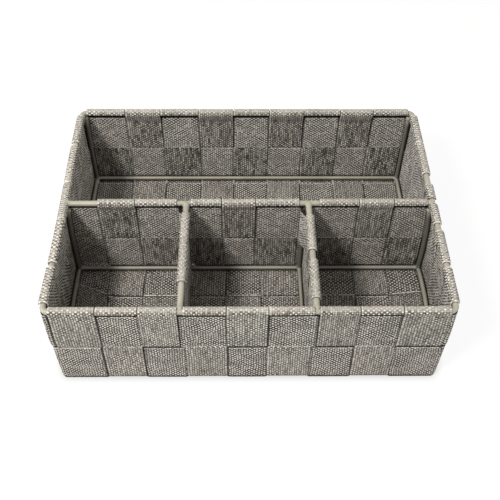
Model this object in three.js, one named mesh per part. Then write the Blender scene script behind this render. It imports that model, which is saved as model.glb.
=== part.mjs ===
// Divided storage basket: flat woven straps plaited on a welded wire frame.
// Millimetres, +Z up, +X to the right, -Y towards the front.
// The origin is at the middle of the base, on the surface the basket stands on.
import * as THREE from 'three';

// Overall size over the wrapped rim
const basketWidth = 320;
const basketDepth = 240;
const basketHeight = 91;

// Wire frame
const rimWireDiameter = 4.8;
const frameWireDiameter = 4.0;
const rimCornerRadius = 5;
const baseCornerRadius = 4;
const wireSides = 12;
const cornerSteps = 6;

// Straps
const strapThickness = 0.9;
const clearance = 0.3;
const seam = 1.6;
const loopSteps = 9;
const floorBendSteps = 4;
const floorBendInset = 1.4;
const loopFarEnd = 110;
const loopNearEnd = 112;

// How far the walls stand outside the rim wire's middle
const longWallOutset = 1.5;
const shortWallOutset = 0.5;

// Where the dividing walls stand
const dividerSetback = 1.5;
const partitionShift = -1;

// Clear rim left beside the straps at the corners
const cornerBareFront = 4.9;
const cornerBareSide = 7;

// Share of the free width that each strap takes, from left to right
const frontLeftShares = [35, 31.2, 28.9];
const frontMiddleShares = [32, 30.6, 33.4];
const frontRightShares = [29.4, 31.4, 34.8];
const backShares = [36.4, 32.8, 35.9, 32.3, 34, 32.5, 33.9, 30.6, 33.1];

// Share of the free depth that each side strap takes, from front to back
const leftShares = [35, 45.5, 41, 45.5, 35];
const rightShares = [33, 33, 45, 38, 37];

// Bare rim between side straps, from front to back
const leftBare = [5.5, 1.6, 1.6, 8.7];
const rightBare = [5.8, 9.3, 14.5, 1.6];

// Centre divider: bare wire at the left of each part, and the straps' shares of the rest
const dividerParts = [
  { bare: 24, shares: [33, 36] },
  { bare: 0.6, shares: [24.8, 28, 37] },
  { bare: 6, shares: [33.5, 29, 28] },
];

// Partitions: bare wire at the front, between the straps and at the back
const leftPartitionStraps = { front: 24, between: 1.6, back: 10, shares: [34, 37.5] };
const rightPartitionStraps = { front: 8, between: 10.8, back: 13.5, shares: [37.3, 37.3] };

const radians = THREE.MathUtils.degToRad;
const lerp = THREE.MathUtils.lerp;

// Sizes that follow from those above
const rimWireRadius = rimWireDiameter / 2;
const frameWireRadius = frameWireDiameter / 2;
const loopRadius = rimWireRadius + clearance + strapThickness / 2;
const wrappedRadius = loopRadius + strapThickness / 2;
const weaveOffset = (strapThickness + clearance) / 2;
const weaveHalf = weaveOffset + strapThickness / 2;
const rimX = basketWidth / 2 - wrappedRadius;
const rimY = basketDepth / 2 - wrappedRadius;
const wallX = rimX + shortWallOutset;
const wallY = rimY + longWallOutset;
const rimZ = basketHeight - wrappedRadius;
const floorZ = weaveHalf;
const wireInset = weaveHalf + clearance + frameWireRadius;
const postPass = wireInset + frameWireRadius + clearance + strapThickness / 2;
const baseZ = floorZ + wireInset;
const bandTop = rimZ - rimWireRadius - clearance;
const bandBottom = floorZ + floorBendInset;
const bandSplit = rimZ / 2;
const postBottom = baseZ + frameWireRadius + clearance;

// Height at which a strap that comes down from its loop reaches the wall
function loopFoot(side, outset) {
  const lean = radians(loopNearEnd - 90);
  const reach = loopRadius * Math.cos(lean) - side * outset - weaveOffset;
  return rimZ - loopRadius * Math.sin(lean) - reach / Math.tan(lean);
}

const cornerPostTop = bandTop - clearance;
const postTop = loopFoot(-1, longWallOutset) - clearance;
const innerX = wallX - weaveHalf - clearance;
const leanIn = radians(loopNearEnd - 90);
const loopStandIn = (bandTop - loopFoot(-1, shortWallOutset)) * Math.tan(leanIn);
const upperInnerX = wallX - weaveOffset - loopStandIn - strapThickness / 2 / Math.cos(leanIn) - clearance;
const innerY = wallY - weaveHalf - clearance;
const floorTop = floorZ + weaveHalf + clearance;
const dividerY = -dividerSetback;
const partitionGap = innerX / 3;
const leftPartitionX = partitionShift - partitionGap;
const rightPartitionX = partitionShift + partitionGap;
const wrapClear = wrappedRadius + clearance;
const wireClear = rimWireRadius + clearance;

const basket = new THREE.Group();

const strapLook = { color: 0x928a7d, roughness: 0.92, metalness: 0 };
const wireLook = { color: 0xb8af98, roughness: 0.42, metalness: 0.1 };

function addPiece(name, geometry, look) {
  const mesh = new THREE.Mesh(geometry, new THREE.MeshStandardMaterial(look));
  mesh.name = name;
  basket.add(mesh);
}

// Builds a mesh from vertices and triangles, turned so that its faces point out
function solidGeometry(vertices, triangles) {
  let volume = 0;
  for (const [a, b, c] of triangles) {
    volume += vertices[a].dot(new THREE.Vector3().crossVectors(vertices[b], vertices[c]));
  }
  const facing = volume < 0 ? triangles.map(([a, b, c]) => [a, c, b]) : triangles;
  const geometry = new THREE.BufferGeometry();
  const numbers = vertices.flatMap((vertex) => vertex.toArray());
  geometry.setAttribute('position', new THREE.Float32BufferAttribute(numbers, 3));
  geometry.setIndex(facing.flat());
  geometry.computeVertexNormals();
  return geometry;
}

// Skins a row of rings that have equally many points, closed into a loop or capped
function skinRings(rings, closed) {
  const size = rings[0].length;
  const triangles = [];
  const last = closed ? rings.length : rings.length - 1;
  for (let ring = 0; ring < last; ring += 1) {
    const here = ring * size;
    const next = ((ring + 1) % rings.length) * size;
    for (let side = 0; side < size; side += 1) {
      const turn = (side + 1) % size;
      triangles.push([here + side, here + turn, next + turn]);
      triangles.push([here + side, next + turn, next + side]);
    }
  }
  if (!closed) {
    const end = (rings.length - 1) * size;
    for (let side = 1; side < size - 1; side += 1) {
      triangles.push([0, side + 1, side]);
      triangles.push([end, end + side, end + side + 1]);
    }
  }
  return solidGeometry(rings.flat(), triangles);
}

// Mitre vector at each point of a flat path, one unit long across the path
function mitres(path, closed) {
  const count = path.length;
  return path.map((point, index) => {
    const before = closed || index > 0 ? path[(index + count - 1) % count] : null;
    const after = closed || index < count - 1 ? path[(index + 1) % count] : null;
    const inward = new THREE.Vector2().subVectors(point, before ?? point).normalize();
    const outward = new THREE.Vector2().subVectors(after ?? point, point).normalize();
    const first = before ? inward : outward;
    const second = after ? outward : inward;
    const normal = new THREE.Vector2(first.y + second.y, -first.x - second.x).normalize();
    const stretch = normal.x * first.y - normal.y * first.x;
    return normal.divideScalar(stretch);
  });
}

// A flat strap between two edge paths, which have equally many points.
// place turns a path point and its edge's cross position into a point of the basket.
function strapGeometry(edges, place, closed = false) {
  const across = edges.map((edge) => mitres(edge.path, closed));
  const half = strapThickness / 2;
  const corners = [[0, -half], [1, -half], [1, half], [0, half]];
  const rings = edges[0].path.map((_, index) => corners.map(([edge, shift]) => {
    const { path, cross } = edges[edge];
    const point = path[index].clone().addScaledVector(across[edge][index], shift);
    return place(point, cross(path[index]));
  }));
  return skinRings(rings, closed);
}

// A closed wire ring, level, with rounded corners
function wireRing(halfX, halfY, height, cornerRadius, wireRadius) {
  const path = [];
  const corners = [[1, -1, -90], [1, 1, 0], [-1, 1, 90], [-1, -1, 180]];
  for (const [signX, signY, start] of corners) {
    for (let step = 0; step <= cornerSteps; step += 1) {
      const angle = radians(start + (90 * step) / cornerSteps);
      const x = signX * (halfX - cornerRadius) + cornerRadius * Math.cos(angle);
      const y = signY * (halfY - cornerRadius) + cornerRadius * Math.sin(angle);
      path.push(new THREE.Vector2(x, y));
    }
  }
  const across = mitres(path, true);
  const rings = path.map((point, index) => {
    const ring = [];
    for (let side = 0; side < wireSides; side += 1) {
      const angle = radians((360 * side) / wireSides);
      const spot = point.clone().addScaledVector(across[index], wireRadius * Math.cos(angle));
      ring.push(new THREE.Vector3(spot.x, spot.y, height + wireRadius * Math.sin(angle)));
    }
    return ring;
  });
  return skinRings(rings, true);
}

// A straight wire from one point to another
function straightWire(from, to, wireRadius) {
  const line = new THREE.Vector3().subVectors(to, from);
  const geometry = new THREE.CylinderGeometry(wireRadius, wireRadius, line.length(), wireSides);
  const upright = new THREE.Vector3(0, 1, 0);
  geometry.applyQuaternion(new THREE.Quaternion().setFromUnitVectors(upright, line.clone().normalize()));
  const middle = from.clone().addScaledVector(line, 0.5);
  geometry.translate(middle.x, middle.y, middle.z);
  return geometry;
}

// Spreads straps over a stretch by their shares, with the given bare lengths between them
function spread(start, end, shares, gaps) {
  const bare = gaps.reduce((sum, gap) => sum + gap, 0);
  const total = shares.reduce((sum, share) => sum + share, 0);
  const spans = [];
  let low = start;
  shares.forEach((share, index) => {
    const width = ((end - start - bare) * share) / total;
    spans.push([low, low + width]);
    low += width + (gaps[index] ?? 0);
  });
  return spans;
}

const seams = (count) => new Array(count - 1).fill(seam);

// Where the straps cross the front rim and the back rim, along X
const frontEnd = rimX - cornerBareFront;
const frontColumns = [
  ...spread(-frontEnd, leftPartitionX - wireClear, frontLeftShares, seams(3)),
  ...spread(leftPartitionX + wireClear, rightPartitionX - wireClear, frontMiddleShares, seams(3)),
  ...spread(rightPartitionX + wireClear, frontEnd, frontRightShares, seams(3)),
];
const backColumns = spread(-frontEnd, frontEnd, backShares, seams(backShares.length));

// Where the side straps cross the left rim and the right rim, along Y
const sideEnd = rimY - cornerBareSide;
const leftRows = spread(-sideEnd, sideEnd, leftShares, leftBare);
const rightRows = spread(-sideEnd, sideEnd, rightShares, rightBare);

// The same straps below the rim, where they widen until only a seam is left between them
function widened(spans) {
  return spans.map(([low, high], index) => [
    index > 0 ? (spans[index - 1][1] + low + seam) / 2 : low,
    index < spans.length - 1 ? (high + spans[index + 1][0] - seam) / 2 : high,
  ]);
}

const leftWide = widened(leftRows);
const rightWide = widened(rightRows);

const columnCount = frontColumns.length;
const rowCount = leftRows.length;

const columnEdge = (column, edge, y) => {
  const along = THREE.MathUtils.clamp((y + wallY) / (2 * wallY), 0, 1);
  return lerp(frontColumns[column][edge], backColumns[column][edge], along);
};

const rowEdge = (row, edge, x, z) => {
  const along = THREE.MathUtils.clamp((x + wallX) / (2 * wallX), 0, 1);
  const narrow = THREE.MathUtils.clamp((z - bandSplit) / (bandTop - bandSplit), 0, 1);
  const atRim = lerp(leftRows[row][edge], rightRows[row][edge], along);
  const below = lerp(leftWide[row][edge], rightWide[row][edge], along);
  return lerp(below, atRim, narrow);
};

// Loop of a strap over a top wire, and on down to the crossing at half height.
// side is 1 where the strap goes down on the outer side, and outset is how far
// the wall stands outside the wire. Measured outwards from the wall, and up from the floor.
function loopPoints(side, outset) {
  const points = [];
  const start = 90 + side * loopFarEnd;
  const end = 90 - side * loopNearEnd;
  for (let step = 0; step <= loopSteps; step += 1) {
    const angle = radians(lerp(start, end, step / loopSteps));
    const x = loopRadius * Math.cos(angle) - outset;
    points.push(new THREE.Vector2(x, rimZ + loopRadius * Math.sin(angle)));
  }
  points.push(new THREE.Vector2(side * weaveOffset, loopFoot(side, outset)));
  points.push(new THREE.Vector2(side * weaveOffset, bandSplit + seam / 2));
  points.push(new THREE.Vector2(-side * weaveOffset, bandSplit - seam / 2));
  return points;
}

// A strap down one wall and round its lower edge, from the loop's end to the floor
function wallPoints(wall, side, outset) {
  const points = loopPoints(side, outset).map((point) => new THREE.Vector2(point.x + wall, point.y));
  for (let step = 0; step <= floorBendSteps; step += 1) {
    const share = step / floorBendSteps;
    const angle = radians(-90 * share);
    const reach = floorBendInset + lerp(-side, side, share) * weaveOffset;
    const x = wall - floorBendInset + reach * Math.cos(angle);
    points.push(new THREE.Vector2(x, floorZ + floorBendInset + reach * Math.sin(angle)));
  }
  return points;
}

// A strap from rim to rim: down one wall, through the floor's crossings, up the other wall
function cradlePath(wall, side, outset, crossings) {
  const down = wallPoints(wall, side, outset);
  const path = down.map((point) => new THREE.Vector2(-point.x, point.y));
  let height = -side;
  for (let index = 0; index < crossings.length - 1; index += 1) {
    path.push(new THREE.Vector2(crossings[index][1], floorZ + height * weaveOffset));
    path.push(new THREE.Vector2(crossings[index + 1][0], floorZ - height * weaveOffset));
    height = -height;
  }
  down.reverse().forEach((point) => path.push(point.clone()));
  return path;
}

// Straps from the front rim to the back rim
for (let column = 0; column < columnCount; column += 1) {
  const side = column % 2 === 0 ? 1 : -1;
  const edges = [0, 1].map((edge) => {
    const middle = columnEdge(column, edge, 0);
    const crossings = leftRows.map((_, row) => [0, 1].map((end) => rowEdge(row, end, middle, floorZ)));
    const path = cradlePath(wallY, side, longWallOutset, crossings);
    return { path, cross: (point) => columnEdge(column, edge, point.x) };
  });
  const place = (point, x) => new THREE.Vector3(x, point.x, point.y);
  addPiece(`front_to_back_strap_${column + 1}`, strapGeometry(edges, place), strapLook);
}

// Straps from the left rim to the right rim, numbered from the front
for (let row = 0; row < rowCount; row += 1) {
  const side = row % 2 === 0 ? -1 : 1;
  const edges = [0, 1].map((edge) => {
    const middle = rowEdge(row, edge, 0, floorZ);
    const crossings = frontColumns.map((_, column) => [0, 1].map((end) => columnEdge(column, end, middle)));
    const path = cradlePath(wallX, side, shortWallOutset, crossings);
    return { path, cross: (point) => rowEdge(row, edge, point.x, point.y) };
  });
  const place = (point, y) => new THREE.Vector3(point.x, y, point.y);
  addPiece(`side_to_side_strap_${row + 1}`, strapGeometry(edges, place), strapLook);
}

// One turn round the four walls, which passes every upright strap on its other side.
// It changes sides close to the strap that lies outside it.
function girthPath(firstSide) {
  const reversed = (spans) => spans.map(([low, high]) => [-high, -low]).reverse();
  const walls = [
    { along: [1, 0], out: [0, -1], length: wallX, distance: wallY, crossings: frontColumns },
    { along: [0, 1], out: [1, 0], length: wallY, distance: wallX, crossings: rightWide },
    { along: [-1, 0], out: [0, 1], length: wallX, distance: wallY, crossings: reversed(backColumns) },
    { along: [0, -1], out: [-1, 0], length: wallY, distance: wallX, crossings: reversed(leftWide) },
  ];
  const path = [];
  let side = firstSide;
  for (const { along, out, length, distance, crossings } of walls) {
    const spot = (run, reach) => new THREE.Vector2(
      along[0] * run + out[0] * reach,
      along[1] * run + out[1] * reach,
    );
    for (let index = 0; index < crossings.length - 1; index += 1) {
      const leave = side < 0 ? crossings[index][1] : crossings[index + 1][0] - seam;
      path.push(spot(leave, distance + side * weaveOffset));
      path.push(spot(leave + seam, distance - side * weaveOffset));
      side = -side;
    }
    for (let step = 0; step <= floorBendSteps; step += 1) {
      const share = step / floorBendSteps;
      const angle = radians(90 * share);
      const reach = wireInset + lerp(side, -side, share) * weaveOffset;
      const run = length - wireInset + reach * Math.sin(angle);
      path.push(spot(run, distance - wireInset + reach * Math.cos(angle)));
    }
    side = -side;
  }
  return path;
}

// A band is a strap on its long edge between two heights
function bandGeometry(path, heights, place, closed = false) {
  const edges = heights.map((height) => ({ path, cross: () => height }));
  return strapGeometry(edges, place, closed);
}

const upperHeights = [bandSplit + seam / 2, bandTop];
const lowerHeights = [bandBottom, bandSplit - seam / 2];
const raisedHeights = [postBottom, bandSplit - seam / 2];
const level = (point, z) => new THREE.Vector3(point.x, point.y, z);
addPiece('girth_strap_upper', bandGeometry(girthPath(-1), upperHeights, level, true), strapLook);
addPiece('girth_strap_lower', bandGeometry(girthPath(1), lowerHeights, level, true), strapLook);

// The frame's outer wires
const baseX = wallX - wireInset;
const baseY = wallY - wireInset;
const baseEdgeX = baseX - frameWireRadius - clearance;
const baseEdgeY = baseY - frameWireRadius - clearance;
addPiece('rim_wire', wireRing(rimX, rimY, rimZ, rimCornerRadius, rimWireRadius), wireLook);
addPiece('base_wire', wireRing(baseX, baseY, baseZ, baseCornerRadius, frameWireRadius), wireLook);

function addPost(name, x, y, top) {
  const foot = new THREE.Vector3(x, y, postBottom);
  const head = new THREE.Vector3(x, y, top);
  addPiece(name, straightWire(foot, head, frameWireRadius), wireLook);
}

addPost('corner_post_front_left', -baseX, -baseY, cornerPostTop);
addPost('corner_post_front_right', baseX, -baseY, cornerPostTop);
addPost('corner_post_back_left', -baseX, baseY, cornerPostTop);
addPost('corner_post_back_right', baseX, baseY, cornerPostTop);

// The straps that hang from a dividing wall's top wire. A side of 1 is the side of the wall's posts.
function addUprightStraps(wall) {
  wall.columns.forEach((span, index) => {
    const side = wall.sides[index];
    const path = [...loopPoints(side, 0), new THREE.Vector2(-side * weaveOffset, floorTop)];
    const edges = span.map((edge) => ({ path, cross: () => edge }));
    const hang = (point, along) => wall.place(along, wall.line - point.x, point.y);
    const name = `${wall.name}_upright_strap_${wall.firstColumn + index}`;
    addPiece(name, strapGeometry(edges, hang), strapLook);
  });
}

// A band through a dividing wall's upright straps, changing sides where they do.
// lay is -1 where the band lies against the straps' side, and 1 where it lies on it.
// The upper band passes outside the post that the wall names as its outerPost.
function addBand(wall, height, lay, heights) {
  const [low, high] = wall.ends[height];
  const spans = [[low, wall.columns[0][0] - seam], ...wall.columns];
  const sides = [wall.endSide, ...wall.sides];
  const spot = (along, side) => new THREE.Vector2(along, side * lay * weaveOffset);
  const path = [spot(low, wall.endSide)];
  for (let index = 1; index < spans.length; index += 1) {
    if (sides[index] !== sides[index - 1]) {
      path.push(spot(spans[index - 1][1], sides[index - 1]));
      path.push(spot(spans[index][0], sides[index]));
    }
  }
  const lastSide = sides[sides.length - 1];
  if (wall.outerPost !== undefined && height === 'upper') {
    path.push(spot(spans[spans.length - 1][1], lastSide));
    path.push(new THREE.Vector2(wall.outerPost - frameWireRadius, postPass));
    path.push(new THREE.Vector2(high, postPass));
  } else {
    path.push(spot(high, lastSide));
  }
  const stand = (point, z) => wall.place(point.x, wall.line - point.y, z);
  addPiece(`${wall.name}_band_${height}`, bandGeometry(path, heights, stand), strapLook);
}

// A dividing wall: its wires, its upright straps and its two bands.
// line is where it stands, and ends says where its two bands begin and end.
function addDividingWall(wall) {
  const { name, place, line } = wall;
  const [topStart, topEnd] = wall.topWire.map((along) => place(along, line, rimZ));
  addPiece(`${name}_top_wire`, straightWire(topStart, topEnd, rimWireRadius), wireLook);
  const postLine = line - wireInset;
  const [baseStart, baseEnd] = wall.baseWire.map((along) => place(along, postLine, baseZ));
  addPiece(`${name}_base_wire`, straightWire(baseStart, baseEnd, frameWireRadius), wireLook);
  for (const [end, along] of wall.posts) {
    const foot = place(along, postLine, postBottom);
    addPost(`${name}_post_${end}`, foot.x, foot.y, postTop);
  }
  addUprightStraps(wall);
  addBand(wall, 'upper', -1, upperHeights);
  addBand(wall, 'lower', 1, raisedHeights);
}

// The centre divider runs along X, and the partitions run along Y
const acrossPlace = (x, y, z) => new THREE.Vector3(x, y, z);
const alongPlace = (y, x, z) => new THREE.Vector3(x, y, z);

const dividerStretches = [
  [-innerX, leftPartitionX - wrapClear],
  [leftPartitionX + wrapClear, rightPartitionX - wrapClear],
  [rightPartitionX + wrapClear, baseEdgeX],
];
const dividerColumns = dividerStretches.flatMap(([start, end], index) => {
  const { bare, shares } = dividerParts[index];
  return spread(start + bare, end, shares, seams(shares.length));
});

addDividingWall({
  name: 'divider',
  line: dividerY,
  place: acrossPlace,
  topWire: [-rimX + wrapClear, rimX - wrapClear],
  baseWire: [-baseEdgeX, baseEdgeX],
  posts: [['left', -baseX], ['right', baseX]],
  ends: { upper: [-upperInnerX, upperInnerX], lower: [-innerX, innerX] },
  columns: dividerColumns,
  firstColumn: 2,
  sides: [1, -1, -1, 1, -1, -1, 1, -1],
  endSide: -1,
});

const dividerPostY = dividerY - wireInset;
for (const [side, line, straps] of [
  ['left', leftPartitionX, leftPartitionStraps],
  ['right', rightPartitionX, rightPartitionStraps],
]) {
  const start = -rimY + wrapClear + straps.front;
  const end = dividerY - wrapClear - straps.back;
  const bandEnds = [-innerY, dividerY - weaveHalf - clearance];
  addDividingWall({
    name: `${side}_partition`,
    line,
    place: alongPlace,
    topWire: [-rimY + wireClear, dividerY - wireClear],
    baseWire: [-baseEdgeY, dividerPostY - frameWireRadius - clearance],
    posts: [['front', -baseY], ['back', dividerPostY]],
    outerPost: dividerPostY,
    ends: { upper: bandEnds, lower: bandEnds },
    columns: spread(start, end, straps.shares, [straps.between]),
    firstColumn: 1,
    sides: [-1, 1],
    endSide: -1,
  });
}

export default basket;
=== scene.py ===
from functools import partialmethod
import math

import bpy
import numpy as np
from mathutils import Matrix, Vector


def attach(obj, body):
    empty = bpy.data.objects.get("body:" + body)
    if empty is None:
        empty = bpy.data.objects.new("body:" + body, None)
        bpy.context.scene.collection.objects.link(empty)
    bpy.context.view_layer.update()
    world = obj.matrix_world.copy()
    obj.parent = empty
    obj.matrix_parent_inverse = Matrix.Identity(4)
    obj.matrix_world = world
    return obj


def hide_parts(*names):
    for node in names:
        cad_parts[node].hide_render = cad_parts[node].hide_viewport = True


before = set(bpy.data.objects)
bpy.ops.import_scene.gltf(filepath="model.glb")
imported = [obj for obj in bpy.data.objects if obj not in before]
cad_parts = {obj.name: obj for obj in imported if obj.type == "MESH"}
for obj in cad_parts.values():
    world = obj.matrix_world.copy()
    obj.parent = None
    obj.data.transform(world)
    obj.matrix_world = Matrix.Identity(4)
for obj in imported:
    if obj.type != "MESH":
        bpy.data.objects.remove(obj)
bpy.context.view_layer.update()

MM = 0.001

# Overall size over the wrapped rim
WIDTH = 320.0
DEPTH = 240.0
HEIGHT = 91.0

# Wire frame
RIM_WIRE_RADIUS = 2.4
FRAME_WIRE_RADIUS = 2.0
RIM_CORNER_RADIUS = 5.0
BASE_CORNER_RADIUS = 4.0

# Straps of the frame model, and the woven tape that takes their place
STRAP_THICKNESS = 0.9
CLEARANCE = 0.3
SEAM = 1.6
LOOP_FAR_END = 87.0
LOOP_NEAR_END = 112.0
LOOP_STAND = 0.2
FLOOR_BEND_INSET = 0.35
FLOOR_TOUCH = 0.02
TAPE_HALF = 0.5
TAPE_FULLER = 0.3
TAPE_EDGE = 0.8
EDGE_NOTCH = 0.22
BEAD_HEIGHT = 0.15
BEND_SOFTNESS = 0.35
PATH_STEP = 0.2
CREASE_WIDTH = 0.9
TOP_CREASE_WIDTH = 1.5
CREASE_CORE = 1.6

# How uneven a strap's edges, beads and face are, and a wire's coating
EDGE_WANDER = 0.12
BEAD_WANDER = 0.03
FACE_WANDER = 0.06
COATING_WANDER = 0.035

# Welds: how much a wire swells and how far, and how deep below the rim the divider's posts end
WELD_SWELL = 0.35
WELD_REACH = 1.6
POST_DROP = 3.1

# Distance between the points of a closed wire, and of a straight one
RING_STEP = 1.2
WIRE_STEP = 0.8

# Bare rim at the divider's weld: half its width, and how far in and down it goes
WELD_GAP = 3.6
WELD_DEPTH = 6.0
WELD_DROP = 3.0

# Distance between a tape's yarns, across it and along it, where it stands upright and where it lies level
UPRIGHT_PITCH = (1.9, 1.35)
LEVEL_PITCH = (1.45, 2.0)

# How dark the painted shade is in the gap where a strap dips through its wall, and between neighbouring
# columns of the front and back walls, from left to right, at the height of each girth strap
DEEP_CREASE = 1.0
MIDDLE_CREASE = 0.6
SHALLOW_CREASE = 0.3
FRONT_GAPS = {
    "upper": (1.0, 0.3, 1.0, 0.5, 1.0, 1.0, 0.3, 1.0),
    "lower": (1.0, 1.0, 0.3, 0.9, 0.3, 0.6, 0.9, 0.3),
}
BACK_GAPS = {
    "upper": (0.5, 1.0, 0.7, 1.0, 0.7, 1.0, 0.8, 1.0),
    "lower": (0.3, 0.3, 0.5, 0.3, 0.4, 0.3, 0.6, 0.3),
}

# How far down from its top edge an upper band lies in the shade of the loops above it
FRONT_SHADE = 1.3
SIDE_SHADE = 2.5
DIVIDER_SHADE = 2.6
BACK_SHADE = 4.0
SEAM_SHADE = 0.7

# Mark of a path's points where the strap is stretched over a wire and gets painted sheen, and the
# angles from the top between which that ends
OVER_WIRE = -1.0
STRETCH_FADE = (25.0, 60.0)

# Bands: how far they go below the bend and up under the loops, the seam between them, the painted shade
# of the gap and the lift at the corners, and how deep the zone of the front or back wall is
BAND_DROP = 0.9
BAND_RISE = 0.9
BAND_SEAM = 0.5
CORNER_GAP = 0.9
CORNER_LIFT = 2.0
WALL_ZONE = 2.0

# The walls lean out at their foot, and the side walls and what is fixed to them bow out further.
# The left rim bows in a little, and the front corners are rounder at their foot.
WALL_FLARE = 0.4
RIGHT_BOW = 5.5
LEFT_BOW = 2.6
LEFT_RIM_BOW = 1.0
BOW_MIDDLE = -35.0
BOW_REACH = 100.0
BOW_START = 100.0
CORNER_TUCK = 2.2
TUCK_REACH = 14.0
TUCK_HEIGHT = 52.0

# The centre divider leans forward a little
DIVIDER_LEAN = 1.2
LEAN_REACH = 25.0

# How far the straps lie aside of a straight line on the floor, between their columns and at the two ends,
# and where that is most. And where the second and third side strap meet on the floor.
FLOOR_DRIFT = (0, -10.5, -11.5, -8, -4.5, -5.5, 2, 12, 9, 0)
DRIFT_MIDDLE = -25.0
DRIFT_REACH = 90.0
FLOOR_MEETING = -36.2
FLOOR_TURN = 40.0

# How far the walls stand outside the rim wire's middle
LONG_WALL_OUTSET = 1.5
SHORT_WALL_OUTSET = 0.5

# Where the dividing walls stand
DIVIDER_Y = -1.5
PARTITION_SHIFT = -1.0

# Clear rim left beside the straps at the corners
CORNER_BARE_FRONT = 4.9
CORNER_BARE_SIDE = 7.0

# Share of the free width that each strap takes, from left to right. In front that is part by part.
FRONT_SHARES = ((35, 31.2, 28.9), (32, 30.6, 33.4), (29.4, 31.4, 34.8))
BACK_SHARES = (36.4, 32.8, 35.9, 32.3, 34, 32.5, 33.9, 30.6, 33.1)

# Share of the free depth that each side strap takes, and the bare rim between them, front to back
LEFT_SHARES = (35, 45.5, 41, 47.4, 36.8)
RIGHT_SHARES = (33, 33, 45, 38, 37)
LEFT_BARE = (5.5, 1.6, 1.6, 5.0)
RIGHT_BARE = (5.8, 9.3, 14.5, 1.6)

# Centre divider, part by part: bare wire at the left, the straps' shares, and bare wire at the right
DIVIDER_PARTS = ((28.3, (30, 33.5), 4.5), (0.6, (24.1, 26.6, 34.7), 4.5), (6, (33.5, 29, 28), 0))

# Partitions: bare wire at the front, between the straps and at the back, and the straps' shares
PARTITION_STRAPS = {
    "left": (24, 1.6, 10, (34, 37.5)),
    "right": (8, 10.8, 13.5, (37.3, 37.3)),
}

# Sizes that follow from those above
LOOP_RADIUS = RIM_WIRE_RADIUS + CLEARANCE + STRAP_THICKNESS / 2
WRAPPED_RADIUS = LOOP_RADIUS + STRAP_THICKNESS / 2
WEAVE_OFFSET = (STRAP_THICKNESS + CLEARANCE) / 2
WEAVE_HALF = WEAVE_OFFSET + STRAP_THICKNESS / 2
RIM_X = WIDTH / 2 - WRAPPED_RADIUS
RIM_Y = DEPTH / 2 - WRAPPED_RADIUS
WALL_X = RIM_X + SHORT_WALL_OUTSET
WALL_Y = RIM_Y + LONG_WALL_OUTSET
RIM_Z = HEIGHT - WRAPPED_RADIUS
FLOOR_Z = WEAVE_HALF
WIRE_INSET = WEAVE_HALF + CLEARANCE + FRAME_WIRE_RADIUS
POST_PASS = WIRE_INSET + FRAME_WIRE_RADIUS + CLEARANCE + STRAP_THICKNESS / 2
BASE_Z = FLOOR_Z + WIRE_INSET
BAND_TOP = RIM_Z - RIM_WIRE_RADIUS - CLEARANCE
BAND_BOTTOM = FLOOR_Z + FLOOR_BEND_INSET - BAND_DROP
BAND_REACH = BAND_TOP + BAND_RISE
BAND_SPLIT = RIM_Z / 2
RAISED_BOTTOM = BASE_Z + FRAME_WIRE_RADIUS + CLEARANCE
INNER_X = WALL_X - WEAVE_HALF - CLEARANCE
INNER_Y = WALL_Y - WEAVE_HALF - CLEARANCE
FLOOR_TOP = FLOOR_Z + WEAVE_HALF + CLEARANCE
PARTITION_X = {"left": PARTITION_SHIFT - INNER_X / 3, "right": PARTITION_SHIFT + INNER_X / 3}
WRAP_CLEAR = WRAPPED_RADIUS + CLEARANCE
WIRE_CLEAR = RIM_WIRE_RADIUS + CLEARANCE
BASE_X = WALL_X - WIRE_INSET
BASE_Y = WALL_Y - WIRE_INSET
BASE_EDGE_X = BASE_X - FRAME_WIRE_RADIUS - CLEARANCE
LEAN_IN = math.radians(LOOP_NEAR_END - 90)


def loop_foot(side, outset):
    """Height at which a strap that comes down from its loop reaches the wall."""
    reach = LOOP_RADIUS * math.cos(LEAN_IN) - side * outset - WEAVE_OFFSET
    return RIM_Z - LOOP_RADIUS * math.sin(LEAN_IN) - reach / math.tan(LEAN_IN)


POST_TOP = loop_foot(-1, LONG_WALL_OUTSET) - CLEARANCE
LOOP_STAND_IN = (BAND_TOP - loop_foot(-1, SHORT_WALL_OUTSET)) * math.tan(LEAN_IN)
UPPER_INNER_X = WALL_X - WEAVE_OFFSET - LOOP_STAND_IN - STRAP_THICKNESS / 2 / math.cos(LEAN_IN) - CLEARANCE

pieces = []


# Shader graphs


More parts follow.
